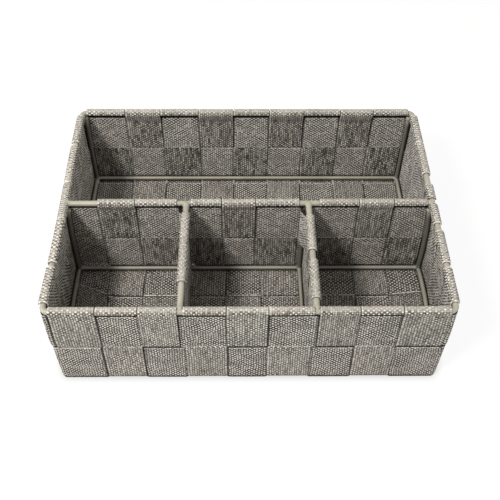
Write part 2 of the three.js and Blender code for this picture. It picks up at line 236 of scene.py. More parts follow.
class Graph:
    """The nodes of a material or a world, with short calls that add a node and wire it up."""

    def __init__(self, owner):
        owner.use_nodes = True
        self.owner = owner
        self.tree = owner.node_tree

    def add(self, kind, inputs=(), **settings):
        node = self.tree.nodes.new("ShaderNode" + kind)
        for key, value in settings.items():
            setattr(node, key, value)
        for socket, value in dict(inputs).items():
            self.set(node.inputs[socket], value)
        return node

    def set(self, socket, value):
        if isinstance(value, bpy.types.NodeSocket):
            self.tree.links.new(value, socket)
        else:
            socket.default_value = value

    def surface(self, values):
        """The material, once its own shader has these inputs."""
        shader = self.tree.nodes["Principled BSDF"]
        for socket, value in values.items():
            self.set(shader.inputs[socket], value)
        return self.owner

    def math(self, operation, *values):
        return self.add("Math", enumerate(values), operation=operation).outputs[0]

    times = partialmethod(math, "MULTIPLY")
    most = partialmethod(math, "MAXIMUM")

    def plus(self, base, value, share):
        """The base and a share of the value."""
        return self.math("MULTIPLY_ADD", value, share, base)

    def centred(self, value):
        """What goes from 0 to 1 goes from -0.5 to 0.5."""
        return self.math("SUBTRACT", value, 0.5)

    def mix(self, share, first, second, **settings):
        """What lies between two numbers or colours."""
        inputs = {"Factor": share, "A": first, "B": second}
        return self.add("Mix", inputs, **settings).outputs["Result"]

    def darken(self, colour, light):
        return self.mix(1.0, colour, light, data_type="RGBA", blend_type="MULTIPLY")

    def mix_shaders(self, share, first, second):
        return self.add("MixShader", enumerate((share, first, second))).outputs[0]

    def vector(self, x, y, z):
        return self.add("CombineXYZ", {"X": x, "Y": y, "Z": z}).outputs["Vector"]

    def parts(self, vector):
        """A vector's x, y and z."""
        return list(self.add("SeparateXYZ", {"Vector": vector}).outputs)

    def marks(self, name):
        """The three numbers of one of the mesh's marks."""
        return self.parts(self.add("Attribute", attribute_name=name).outputs["Vector"])

    def place(self):
        return self.add("TexCoord").outputs["Object"]

    def upward(self):
        """1 where the surface faces up, and -1 where it faces down."""
        return self.parts(self.add("NewGeometry").outputs["Normal"])[2]

    def open_air(self, reach, samples):
        """1 where nothing is within reach, and less elsewhere."""
        node = self.add("AmbientOcclusion", {"Distance": reach * MM}, samples=samples)
        return node.outputs["AO"]

    def direct(self):
        """1 where it is looked at, and 0 where it gives light."""
        ray = self.add("LightPath").outputs
        return self.most(self.most(ray["Is Camera Ray"], ray["Is Glossy Ray"]), ray["Is Transmission Ray"])

    def noise(self, place, scale, detail=2.0):
        inputs = {"Vector": place, "Scale": scale, "Detail": detail}
        return self.add("TexNoise", inputs).outputs["Fac"]

    def white(self, place):
        return self.add("TexWhiteNoise", {"Vector": place}).outputs["Value"]

    def bump(self, strength, distance, height):
        inputs = {"Strength": strength, "Distance": distance * MM, "Height": height}
        return self.add("Bump", inputs).outputs["Normal"]

    def ramp(self, value, stops):
        node = self.add("ValToRGB", {"Fac": value})
        elements = node.color_ramp.elements
        while len(elements) < len(stops):
            elements.new(0.5)
        for element, (position, colour) in zip(elements, stops):
            element.position = position
            element.color = (*colour, 1)
        return node.outputs["Color"]

    def smooth(self, value, low, high):
        """0 below low, 1 above high, and a smooth rise between them."""
        inputs = {"Value": value, "From Min": low, "From Max": high}
        node = self.add("MapRange", inputs, interpolation_type="SMOOTHSTEP")
        return node.outputs["Result"]


# Woven material. A pair is for the upright straps and for the level ones.
YARN_TONE = (0.515, 0.725)
CONTRAST = (0.5, 1.1)
STREAK = (0.95, 0.3)
SPECK = (0.7, 1.0)
WAVER = (0.8, 1.6)
HOLLOW = (0.78, 0.95)
SELVEDGE_SHARE = (0.5, 1.0)

# The same where a strap is stretched over a wire, and what is added to its tone there, which is partly the
# stretched weave's own tone and partly painted sheen on the loops over the rim
OVER_WIRE_CONTRAST = (0.2, 0.5)
OVER_WIRE_STREAK = 0.3
OVER_WIRE_SPECK = (0.3, 0.6)
OVER_WIRE_TONE_AND_SHEEN = (0.065, -0.14)
OVER_WIRE_HOLLOW = 0.3

# Where the basket's inside is: behind the front wall, above the floor and below the rim. And how many
# times rougher, streakier and deeper the weave is there, and what is added to its tone.
BEHIND_FRONT = (-112 * MM, -108 * MM)
ABOVE_FLOOR = (2 * MM, 8 * MM)
BELOW_RIM = (84 * MM, 78 * MM)
INSIDE_ROUGHNESS = (1.1, 1.6)
INSIDE_STREAK = 2.0
INSIDE_HOLLOW = (1.0, 0.82)
INSIDE_TONE = (-0.14, 0.2)

# Where a strap slants back from the rim to its wall, facing down, and the painted light added to its
# tone there, which lifts its shade
SLANT_FACING = (-0.05, -0.35)
SLANT_HEIGHT = (62 * MM, 72 * MM)
SLANT_PAINTED_LIGHT = 0.16

# Other shares in the tone, and how far apart the yarns' tones are and how fast they drift
WEFT_SHARE = 0.15
STRAP_SHARE = 0.08
PATCH_SHARE = 0.15
SELVEDGE_TONE = 0.5
SELVEDGE_HOLLOW = 0.35
YARN_STEP = 3.7
WARP_DRIFT = 0.09
WEFT_DRIFT = 0.12

# How fine the noise is in a yarn, in patches of tone and in patches of hue
YARN_SCALE = 1.3
PATCH_SCALE = 45.0
HUE_SCALE = 28.0

# How round a bead is and how fine its fibres are, along the yarn on top and across it
BEAD = (0.8, 1.2)
FIBRE = (1.4, 9.0)

# Light left in painted shade: in a crease, under the basket's foot, and beside wires
CREASE_LIGHT = 0.02
FOOT_HEIGHT = (1.2 * MM, 3.6 * MM)
FOOT_LIGHT = 0.12
STRAP_AIR = 3.0
CORNER_LIGHT = 0.2

# The yarns' colours from deep to pale
COOL_YARN = ((0.0, (0.070, 0.066, 0.056)), (0.5, (0.340, 0.321, 0.275)), (1.0, (0.720, 0.694, 0.624)))
WARM_YARN = ((0.0, (0.073, 0.066, 0.057)), (0.5, (0.347, 0.314, 0.272)), (1.0, (0.728, 0.686, 0.620)))

# Wires: their paint, and how much painted shade they get beside straps, and on their lower side below the
# rim
WIRE_PAINT = ((0.3, (0.300, 0.280, 0.226)), (0.7, (0.360, 0.338, 0.274)))
WIRE_AIR = 12.0
WIRE_CORNER_SHADE = 0.42
WIRE_LOWER_SHADE = 0.35
RIM_HEIGHT = (72 * MM, 84 * MM)


def woven_material():
    """Plain weave of heathered yarns. The mesh says which yarn is where: warp, weft and strap."""
    graph = Graph(bpy.data.materials.new("woven_tape"))
    mix, times, plus, most = graph.mix, graph.times, graph.plus, graph.most
    smooth, centred, vector = graph.smooth, graph.centred, graph.vector
    white, noise = graph.white, graph.noise
    across, along, strap = graph.marks("weave")
    # Painted shade in creases and under loops, stretch and painted sheen over wires, pale edges, and level
    # straps
    crease, edge, level = graph.marks("crease_edge_level")
    selvedge = times(edge, mix(level, *SELVEDGE_SHARE))
    over_wire = most(times(crease, -1.0), 0.0)
    crease = most(crease, 0.0)
    place = graph.place()
    _, depthwise, height = graph.parts(place)
    upward = graph.upward()

    # The yarns waver a little
    waver_place = vector(times(across, 0.16), times(along, 0.12), strap)
    waver = graph.add("TexNoise", {"Vector": waver_place, "Scale": 1.0, "Detail": 2.0})
    aside, ahead, _ = graph.add("SeparateColor", {"Color": waver.outputs["Color"]}).outputs
    reach = mix(level, *WAVER)
    across = plus(across, centred(aside), reach)
    along = plus(along, centred(ahead), reach)

    warp = graph.math("FLOOR", across)
    weft = graph.math("FLOOR", along)
    warp_up = graph.math("MODULO", graph.math("ADD", warp, weft), 2.0)

    # Every crossing differs from those round it
    speck = white(vector(warp, weft, strap))
    for step_across, step_along in ((1.0, 0.0), (-1.0, 0.0), (0.0, 1.0), (0.0, -1.0)):
        beside = (graph.math("ADD", warp, step_across), graph.math("ADD", weft, step_along))
        speck = plus(speck, white(vector(*beside, strap)), -0.25)

    # Each yarn has its own tone, which drifts a little along it, and so has each strap
    warp_place = vector(times(warp, YARN_STEP), times(along, WARP_DRIFT), strap)
    weft_place = vector(times(across, WEFT_DRIFT), times(weft, YARN_STEP), strap)
    warp_drift = centred(noise(warp_place, YARN_SCALE, 1.0))
    weft_drift = centred(noise(weft_place, YARN_SCALE, 1.0))
    whole = centred(white(vector(strap, 5.0, 9.0)))
    patch = centred(noise(place, PATCH_SCALE, 0.0))

    # Inside the basket the weave is rougher, the upright straps deeper in tone and the level ones paler
    inside = times(smooth(depthwise, *BEHIND_FRONT), smooth(height, *ABOVE_FLOOR))
    inside = times(inside, smooth(height, *BELOW_RIM))
    rougher = mix(inside, 1.0, mix(level, *INSIDE_ROUGHNESS))
    # Painted light where a strap faces down below the rim, lifting the shade there
    slant = times(smooth(upward, *SLANT_FACING), smooth(height, *SLANT_HEIGHT))

    # The level straps' warp is paler than their weft, so their beads stand out. The others are streaky.
    contrast = times(mix(level, *CONTRAST), rougher)
    contrast = mix(over_wire, contrast, mix(level, *OVER_WIRE_CONTRAST))
    speck_share = times(mix(level, *SPECK), rougher)
    speck_share = mix(over_wire, speck_share, mix(level, *OVER_WIRE_SPECK))
    streak = mix(over_wire, mix(level, *STREAK), OVER_WIRE_STREAK)
    streak = times(streak, mix(inside, 1.0, INSIDE_STREAK))
    tone = mix(level, *YARN_TONE)
    for value, share in (
        (centred(warp_up), contrast),
        (speck, speck_share),
        (warp_drift, streak),
        (weft_drift, WEFT_SHARE),
        (whole, STRAP_SHARE),
        (patch, PATCH_SHARE),
        # stretched weave's tone and painted sheen over wires
        (over_wire, mix(level, *OVER_WIRE_TONE_AND_SHEEN)),
        (selvedge, SELVEDGE_TONE),
        (inside, mix(level, *INSIDE_TONE)),
        # painted light that lifts the shade on slants below the rim
        (slant, SLANT_PAINTED_LIGHT),
    ):
        tone = plus(tone, value, share)
    warmth = most(graph.math("MODULO", strap, 2.0), level)
    warmth = mix(0.3, warmth, white(vector(strap, 2.0, 3.0)))
    warmth = plus(warmth, centred(noise(place, HUE_SCALE, 1.0)), 1.2)
    yarn = mix(warmth, graph.ramp(tone, COOL_YARN), graph.ramp(tone, WARM_YARN), data_type="RGBA")

    # Each crossing is a bead, longer along the yarn that lies on top, with painted shade in the hollows
    # round it
    side = plus(-1.0, graph.math("FRACT", across), 2.0)
    end = plus(-1.0, graph.math("FRACT", along), 2.0)
    flank = times(times(side, side), mix(warp_up, *BEAD))
    tip = times(times(end, end), mix(warp_up, *BEAD[::-1]))
    hollow = smooth(graph.math("ADD", flank, tip), 0.1, 1.0)
    depth = times(hollow, mix(over_wire, mix(level, *HOLLOW), OVER_WIRE_HOLLOW))
    depth = times(depth, mix(selvedge, 1.0, SELVEDGE_HOLLOW))
    depth = times(depth, mix(inside, 1.0, mix(level, *INSIDE_HOLLOW)))
    # Painted shade in the hollows, in the creases where straps dip, and under the loops
    shade = times(graph.math("SUBTRACT", 1.0, depth), mix(crease, 1.0, CREASE_LIGHT))

    # Painted shade where a strap turns under, close to the floor
    clear_of_foot_shade = most(smooth(height, *FOOT_HEIGHT), smooth(upward, 0.3, 0.7))
    shade = times(shade, mix(clear_of_foot_shade, FOOT_LIGHT, 1.0))

    # Painted shade in the corners beside wires and under loops
    free = smooth(graph.open_air(STRAP_AIR, 4), 0.3, 0.8)
    shade = times(shade, mix(free, CORNER_LIGHT, 1.0))

    # Fibres run along whichever yarn is on top
    warp_fibre = vector(times(across, FIBRE[1]), times(along, FIBRE[0]), strap)
    weft_fibre = vector(times(across, FIBRE[0]), times(along, FIBRE[1]), strap)
    fibre = mix(warp_up, noise(weft_fibre, 1.0), noise(warp_fibre, 1.0))
    relief = graph.math("SUBTRACT", times(fibre, 0.5), depth)
    return graph.surface({
        "Base Color": graph.darken(yarn, shade),
        "Normal": graph.bump(0.7, 0.2, relief),
        "Roughness": plus(0.76, fibre, 0.16),
        "Specular IOR Level": 0.25,
    })


def wire_material():
    """Satin paint on steel wire, slightly uneven."""
    graph = Graph(bpy.data.materials.new("coated_wire"))
    place = graph.place()
    paint = graph.ramp(graph.noise(place, 60.0), WIRE_PAINT)
    fine = graph.noise(place, 900.0)
    # Painted shade where straps and other wires are close round a wire
    painted_shade = graph.mix(graph.smooth(graph.open_air(WIRE_AIR, 8), 0.3, 0.7), WIRE_CORNER_SHADE, 1.0)

    # Below the rim, painted shade on all but the wires' upper side
    height = graph.parts(place)[2]
    lit_side = graph.most(graph.smooth(graph.upward(), 0.1, 1.0), graph.smooth(height, *RIM_HEIGHT))
    painted_shade = graph.times(painted_shade, graph.mix(lit_side, WIRE_LOWER_SHADE, 1.0))
    return graph.surface({
        "Base Color": graph.darken(paint, painted_shade),
        "Normal": graph.bump(0.3, 0.1, fine),
        "Roughness": graph.plus(0.34, fine, 0.2),
    })


tape_look = woven_material()
wire_look = wire_material()


# Meshes


def bump(place, middle, reach):
    """1 at the middle, and less and less towards 0 at the reach."""
    return np.cos(np.clip((place - middle) / reach, -1, 1) * math.pi / 2) ** 2


def bowed(points):
    """Points moved where side walls bow out, front corners round off and the divider leans."""
    x, y, z = points.T
    near_wall = np.clip((np.abs(x) - BOW_START) / (BASE_X - BOW_START), 0, 1) ** 2
    at_rim = np.clip(z / RIM_Z, 0, 1) ** 3
    out = np.where(x > 0, RIGHT_BOW * (1 - at_rim), LEFT_BOW * (1 - at_rim) - LEFT_RIM_BOW * at_rim)
    out = out * near_wall * bump(y, BOW_MIDDLE, BOW_REACH)
    from_corner = np.hypot(WALL_X - np.abs(x), WALL_Y + y)
    tuck = CORNER_TUCK * np.exp(-(from_corner / TUCK_REACH) ** 2) * np.clip(1 - z / TUCK_HEIGHT, 0, 1)
    lean = DIVIDER_LEAN * np.clip(z / RIM_Z, 0, 1) * bump(y, DIVIDER_Y, LEAN_REACH)
    return np.column_stack((x + np.sign(x) * (out - tuck), y - lean, z))


def put(name, data):
    """A new object in the scene."""
    thing = bpy.data.objects.new(name, data)
    bpy.context.scene.collection.objects.link(thing)
    return thing


def make_mesh(name, points, quads, look, marks=None):
    """An object from points in millimetres and four-cornered faces. marks are for its material."""
    mesh = bpy.data.meshes.new(name)
    mesh.vertices.add(len(points))
    mesh.vertices.foreach_set("co", (points * MM).astype(np.float32).ravel())
    mesh.loops.add(quads.size)
    mesh.loops.foreach_set("vertex_index", quads.astype(np.int32).ravel())
    mesh.polygons.add(len(quads))
    mesh.polygons.foreach_set("loop_start", np.arange(0, quads.size, 4, dtype=np.int32))
    mesh.polygons.foreach_set("use_smooth", np.ones(len(quads), bool))
    for mark, values in (marks or {}).items():
        attribute = mesh.attributes.new(mark, "FLOAT_VECTOR", "POINT")
        attribute.data.foreach_set("vector", values.astype(np.float32).ravel())
    mesh.update(calc_edges=True)
    mesh.validate()
    mesh.materials.append(look)
    return put(name, mesh)


def dress(piece, node):
    """Lets a piece stand for one node of the frame."""
    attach(piece, "root")
    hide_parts(node)
    pieces.append(piece)


# Paths


def arc(centre, radius, start, end):
    """Points of an arc from one angle to another, in degrees, about five degrees apart."""
    count = int(abs(end - start) / 5) + 2
    angles = np.radians(np.linspace(start, end, count))
    return np.array(centre) + radius * np.column_stack((np.cos(angles), np.sin(angles)))


def run_along(path, closed):
    """The path, with its first point again at the end where it is closed, and how far along they lie."""
    if closed:
        path = np.vstack((path, path[:1]))
    steps = np.linalg.norm(np.diff(path, axis=0), axis=1)
    return path, np.concatenate(([0.0], np.cumsum(steps)))


def spaced(path, count, closed):
    """The path again, as points that lie equally far apart."""
    path, run = run_along(path, closed)
    places = np.linspace(0, run[-1], count, endpoint=not closed)
    return np.column_stack([np.interp(places, run, path[:, axis]) for axis in range(path.shape[1])])


def path_length(path, closed):
    return run_along(path, closed)[1][-1]


def soften(path, closed):
    """Rounds a path's bends, as stiff cloth does."""
    path = spaced(path, int(path_length(path, closed) / PATH_STEP), closed)
    reach = int(4 * BEND_SOFTNESS / PATH_STEP)
    weights = np.exp(-0.5 * (np.arange(-reach, reach + 1) * PATH_STEP / BEND_SOFTNESS) ** 2)
    weights /= weights.sum()
    if closed:
        padded = np.vstack((path[-reach:], path, path[:reach]))
    else:
        before = 2 * path[0] - path[reach:0:-1]
        after = 2 * path[-1] - path[-2:-reach - 2:-1]
        padded = np.vstack((before, path, after))
    return np.column_stack([np.convolve(padded[:, axis], weights, "valid") for axis in range(2)])


def creases(path, count, length, width, closed):
    """Up to 1 for painted shade where a strap dips through its wall, and down to -1 where it is stretched
    over a wire, where it gets painted sheen.
    """
    marks = path[:, 2]
    _, run = run_along(path[:, :2], closed)
    shares = run / run[-1]
    places = np.arange(count) / (count if closed else count - 1)
    crease = np.zeros(count)
    for index in np.flatnonzero(marks > 0):
        gap = np.abs(places - shares[index])
        if closed:
            gap = np.minimum(gap, 1 - gap)
        near = np.minimum(CREASE_CORE * np.exp(-(gap * length / width) ** 2), 1)
        crease = np.maximum(crease, marks[index] * near)
    if not closed:
        crease += np.interp(places, shares, np.minimum(marks, 0))
    return crease


def headings(points, closed):
    """Which way a row of points runs, at each of them."""
    if closed:
        return np.roll(points, -1, axis=0) - np.roll(points, 1, axis=0)
    return np.gradient(points, axis=0)


def unit(vectors):
    return vectors / np.linalg.norm(vectors, axis=-1, keepdims=True)


def wander(draw, count, amount, closed):
    """A slow random drift along a strap, which closes on itself where the strap does."""
    turns = np.arange(1, 7) if closed else np.linspace(0.6, 6, 6)
    run = np.arange(count) / count
    drift = np.zeros(count)
    for turn in turns:
        strength, phase = draw.normal(), draw.uniform(0, 2 * math.pi)
        drift += strength * np.sin(2 * math.pi * turn * run + phase)
    return amount * drift / math.sqrt(len(turns))


def spread(start, end, shares, gaps=None):
    """Spans of straps over a stretch, by their shares, with seams or given bare lengths between them."""
    gaps = gaps or [SEAM] * (len(shares) - 1)
    free = end - start - sum(gaps)
    spans = []
    low = start
    for share, gap in zip(shares, [*gaps, 0]):
        width = free * share / sum(shares)
        spans.append((low, low + width))
        low += width + gap
    return spans


def stretches(start, end, clear):
    """The three parts of a length that the partitions divide, clear of them."""
    left, right = PARTITION_X["left"], PARTITION_X["right"]
    return (start, left - clear), (left + clear, right - clear), (right + clear, end)


# Woven tape


def tape(node, edges, place, closed=False, keep=None, level=False, shade=None):
    """A woven strap between two edge paths. An edge is a path and the cross position at its points.

    A path's third column says how dark the painted shade on the strap is at the points where it dips
    through its wall, and is OVER_WIRE where the strap is stretched over a wire and gets painted sheen.
    shade says how far in from its second edge it lies in the shade of what is above it. On the
    outer face of a closed strap that is never more than FRONT_SHADE.
    """
    draw = np.random.default_rng(100 + len(pieces))
    paths = [soften(path[:, :2], closed) for path, _ in edges]
    length = sum(path_length(path, closed) for path in paths) / 2
    warp_pitch, weft_pitch = LEVEL_PITCH if level else UPRIGHT_PITCH
    rows = 2 * round(length / weft_pitch) + (0 if closed else 1)
    paths = [spaced(path, rows, closed) for path in paths]
    crosses = [cross(path) for path, (_, cross) in zip(paths, edges)]
    warps = max(2, round(float(np.mean(crosses[1] - crosses[0])) / warp_pitch))
    columns = 2 * warps + 1

    # The middle surface of the strap, and its normals
    notch = EDGE_NOTCH * (np.arange(rows) % 2)
    rims = []
    for path, cross, sign in zip(paths, crosses, (-1, 1)):
        cross = cross + sign * (TAPE_FULLER + notch) + wander(draw, rows, EDGE_WANDER, closed)
        rims.append(place(path[:, 0], path[:, 1], cross))
    share = (np.arange(columns) / (columns - 1))[None, :, None]
    middle = rims[0][:, None, :] * (1 - share) + rims[1][:, None, :] * share
    normals = unit(np.cross(headings(middle, closed), middle[:, -1:] - middle[:, :1]))

    # Beads where the yarns cross, and hollows at the corners between them
    odd = (np.arange(rows) % 2)[:, None] + np.arange(columns) % 2
    bead = BEAD_HEIGHT * (odd - 1.0) + draw.normal(0, BEAD_WANDER, (rows, columns))
    half = np.full(columns, TAPE_HALF)
    half[[0, -1]] *= TAPE_EDGE
    half = half + bead
    bow = wander(draw, rows, FACE_WANDER, closed)[:, None, None]
    top = middle + normals * (half[:, :, None] + bow)
    bottom = middle - normals * (half[:, :, None] - bow)

    # Which yarn is where, for the material
    grid_rows, grid_columns = np.meshgrid(np.arange(rows) / 2, np.arange(columns) / 2, indexing="ij")
    mark = np.full((rows, columns), 10.0 + 7 * len(pieces))
    weave_top = np.stack((grid_columns, grid_rows, mark), axis=2)
    weave_bottom = weave_top + (1, 0, 0)

    # Where it dips and gets painted shade, where its edge is, and whether it lies level
    widths = (CREASE_WIDTH, TOP_CREASE_WIDTH if shade else CREASE_WIDTH)
    first, second = (
        creases(path, rows, length, width, closed)[:, None]
        for (path, _), width in zip(edges, widths)
    )
    crease = first * (1 - share[..., 0]) + second * share[..., 0]
    selvedge = np.zeros((rows, columns))
    selvedge[:, [0, 1, -2, -1] if level else [0, -1]] = 1.0

    def face_marks(most):
        """The marks of one face. Its painted shade reaches no further in than the given distance."""
        dark, pale = crease, selvedge
        if shade:
            step = ((crosses[1] - crosses[0]) / (columns - 1))[:, None]
            from_edge = (columns - 1 - np.arange(columns))[None, :] * step
            past = (from_edge - np.minimum(shade(paths[1]), most)[:, None]) / step
            dark = np.maximum(crease, np.clip(1 - past, 0, 1))
            pale = np.maximum(selvedge, np.clip(1 - np.abs(past - 1.5), 0, 1))
        return np.stack((dark, pale, np.full((rows, columns), float(level))), axis=2)

    # Cells of the grid. Those that keep turns down are cut out.
    cells = rows if closed else rows - 1
    ahead = (np.arange(cells) + 1) % rows
    kept = np.ones((cells, columns - 1), bool)
    if keep:
        kept = keep((middle[:cells, :-1] + middle[ahead][:, 1:]) / 2)
    under = rows * columns
    index = np.arange(under).reshape(rows, columns)
    here, there = index[:cells], index[ahead]
    a, b, c, d = here[:, :-1], here[:, 1:], there[:, 1:], there[:, :-1]

    def faces(which, *corners):
        return np.stack([value[which] for value in corners], axis=-1)

    def beside(shift_row, shift_column):
        """Cells whose neighbour on one side is missing."""
        padded = np.zeros((cells + 2, columns + 1), bool)
        padded[1:-1, 1:-1] = kept
        if closed:
            padded[0, 1:-1], padded[-1, 1:-1] = kept[-1], kept[0]
        return kept & ~np.roll(padded, (-shift_row, -shift_column), (0, 1))[1:-1, 1:-1]

    quads = [faces(kept, a, d, c, b), faces(kept, a + under, b + under, c + under, d + under)]
    for shift, first, second in (((0, -1), a, d), ((0, 1), c, b), ((-1, 0), b, a), ((1, 0), d, c)):
        quads.append(faces(beside(*shift), first, first + under, second + under, second))
    both_face_marks = (face_marks(FRONT_SHADE if closed else math.inf), face_marks(math.inf))
    pairs = ((top, bottom), (weave_top, weave_bottom), both_face_marks)
    points, weave, crease_edge_level = (np.stack(pair).reshape(-1, 3) for pair in pairs)
    points[:, 2] = np.maximum(points[:, 2], FLOOR_TOUCH)
    used, quads = np.unique(np.vstack(quads), return_inverse=True)
    marks = {"weave": weave[used], "crease_edge_level": crease_edge_level[used]}
    piece = make_mesh(f"{node}_woven", bowed(points[used]), quads.reshape(-1, 4), tape_look, marks)
    dress(piece, node)


def fixed(value):
    """A cross position that stays the same along the strap."""
    return lambda path: np.full(len(path), value)


# Where the straps cross the front and back rims, along X, and the side rims, along Y

front_end = RIM_X - CORNER_BARE_FRONT
front_columns = []
for (start, end), shares in zip(stretches(-front_end, front_end, WIRE_CLEAR), FRONT_SHARES):
    front_columns += spread(start, end, shares)
back_columns = spread(-front_end, front_end, BACK_SHARES)
side_end = RIM_Y - CORNER_BARE_SIDE
left_rows = spread(-side_end, side_end, LEFT_SHARES, LEFT_BARE)
right_rows = spread(-side_end, side_end, RIGHT_SHARES, RIGHT_BARE)


def widened(spans):
    """The side straps below the rim, where they widen until only a seam is left between them."""
    wide = [list(span) for span in spans]
    for this, after in zip(wide, wide[1:]):
        middle = (this[1] + after[0]) / 2
        this[1] = middle - SEAM / 2
        after[0] = middle + SEAM / 2
    return wide


left_wide, right_wide = widened(left_rows), widened(right_rows)


def column_edge(column, edge, y, _):
    """Where an edge of a front-to-back strap lies along X."""
    along = np.clip((y + WALL_Y) / (2 * WALL_Y), 0, 1)
    straight = front_columns[column][edge] * (1 - along) + back_columns[column][edge] * along
    return straight + FLOOR_DRIFT[column + edge] * bump(y, DRIFT_MIDDLE, DRIFT_REACH)


def row_edge(row, edge, x, z):
    """Where an edge of a side-to-side strap lies along Y."""
    along = np.clip((x + WALL_X) / (2 * WALL_X), 0, 1)
    narrow = np.clip((z - BAND_SPLIT) / (BAND_TOP - BAND_SPLIT), 0, 1)
    at_rim = left_rows[row][edge] * (1 - along) + right_rows[row][edge] * along
    below = left_wide[row][edge] * (1 - along) + right_wide[row][edge] * along
    if row + edge == 2:
        on_floor = 1 - bump(np.clip(WALL_X - np.abs(x), 0, FLOOR_TURN), 0, FLOOR_TURN)
        below = below + (FLOOR_MEETING + (1 - 2 * edge) * SEAM / 2 - below) * on_floor
    return below * (1 - narrow) + at_rim * narrow


def unmarked(points):
    """Path points at which the strap doesn't dip through its wall."""
    return np.column_stack((points, np.zeros(len(points))))


def dip(start, end, depth):
    """The points of a strap's way through its wall, from one side to the other."""
    start, end = np.array(start, float), np.array(end, float)
    return np.array([(*start, 0), (*(start + end) / 2, depth), (*end, 0)])


def loop_points(side, outset, depth):
    """Loop of a strap over a top wire, and down to the crossing at half height.

    side is 1 where the strap goes down on the outer side, and outset is how far the wall stands
    outside the wire. depth is how dark the painted shade at the crossing is. The points are measured
    outwards from the wall, and up from the floor.
    """
    radius = LOOP_RADIUS + LOOP_STAND
    over = unmarked(arc((-outset, RIM_Z), radius, 90 + side * LOOP_FAR_END, 90 - side * LOOP_NEAR_END))
    from_top = np.abs(np.linspace(-LOOP_FAR_END, LOOP_NEAR_END, len(over)))
    over[:, 2] = OVER_WIRE * np.interp(from_top, STRETCH_FADE, (1, 0))
    foot = np.array([(side * WEAVE_OFFSET, loop_foot(side, outset))])
    middle = dip(
        (side * WEAVE_OFFSET, BAND_SPLIT + SEAM / 2),
        (-side * WEAVE_OFFSET, BAND_SPLIT - SEAM / 2),
        depth,
    )
    return np.vstack((over, unmarked(foot), middle))


def bend(side, inset):
    """Distances from a bend's centre, and angles, while a strap changes sides in the bend."""
    steps = np.linspace(0, 1, 12)
    reach = inset + (2 * steps - 1) * side * WEAVE_OFFSET
    return reach, steps * math.pi / 2


def cradle(wall, side, outset, crossings, depths):
    """Path of a strap from rim to rim: down one wall, through the floor's crossings, up the other.

    depths are how dark the painted shade at the crossings at half height of the two walls is.
    """
    reach, turn = bend(side, FLOOR_BEND_INSET)
    foot = np.column_stack((
        wall + WALL_FLARE - FLOOR_BEND_INSET + reach * np.cos(turn),
        FLOOR_Z + FLOOR_BEND_INSET - reach * np.sin(turn),
    ))
    down, up = (
        np.vstack((loop_points(side, outset, depth) + (wall, 0, 0), unmarked(foot)))
        for depth in depths
    )
    floor = []
    height = -side
    for this, after in zip(crossings, crossings[1:]):
        floor.append(dip(
            (this[1], FLOOR_Z + height * WEAVE_OFFSET),
            (after[0], FLOOR_Z - height * WEAVE_OFFSET),
            DEEP_CREASE if height < 0 else SHALLOW_CREASE,
        ))
        height = -height
    return np.vstack((down * (-1, 1, 1), *floor, up[::-1]))


def placed(*order):
    """Which of a path's two numbers and the cross position are x, y and z."""
    return lambda *numbers: np.column_stack([numbers[index] for index in order])


def rim_to_rim(node, index, edge_at, others, other_edge_at, place, wall, outset, side, depths, **settings):
    """A strap down one wall, through those that cross it on the floor, and up the other wall."""
    edges = []
    for edge in (0, 1):
        middle = edge_at(index, edge, 0.0, FLOOR_Z)
        crossings = [
            [other_edge_at(other, other_edge, middle, FLOOR_Z) for other_edge in (0, 1)]
            for other in range(len(others))
        ]
        path = cradle(wall, side, outset, crossings, depths)
        edges.append((path, lambda path, edge=edge: edge_at(index, edge, path[:, 0], path[:, 1])))
    tape(node, edges, place, **settings)


def beside_divider(centres):
    """False where the right rim is bare because the divider's wire is welded to it."""
    near = np.abs(centres[..., 1] - DIVIDER_Y) < WELD_GAP
    at_rim = (centres[..., 0] > RIM_X - WELD_DEPTH) & (centres[..., 2] > RIM_Z - WELD_DROP)
    return ~(near & at_rim)


# Straps from the front rim to the back rim
crossed = (left_rows, row_edge, placed(2, 0, 1), WALL_Y, LONG_WALL_OUTSET)
for column in range(len(front_columns)):
    name = f"front_to_back_strap_{column + 1}"
    side = 1 if column % 2 == 0 else -1
    front_depth = DEEP_CREASE if side > 0 and column > 0 else SHALLOW_CREASE
    rim_to_rim(name, column, column_edge, *crossed, side, (front_depth, MIDDLE_CREASE))

# Straps from the left rim to the right rim. The middle one is slit over the divider's weld.
crossed = (front_columns, column_edge, placed(0, 2, 1), WALL_X, SHORT_WALL_OUTSET)
for row in range(len(left_rows)):
    name = f"side_to_side_strap_{row + 1}"
    side = -1 if row % 2 == 0 else 1
    keep = beside_divider if row == 2 else None
    rim_to_rim(name, row, row_edge, *crossed, side, (MIDDLE_CREASE, MIDDLE_CREASE), keep=keep, level=True)


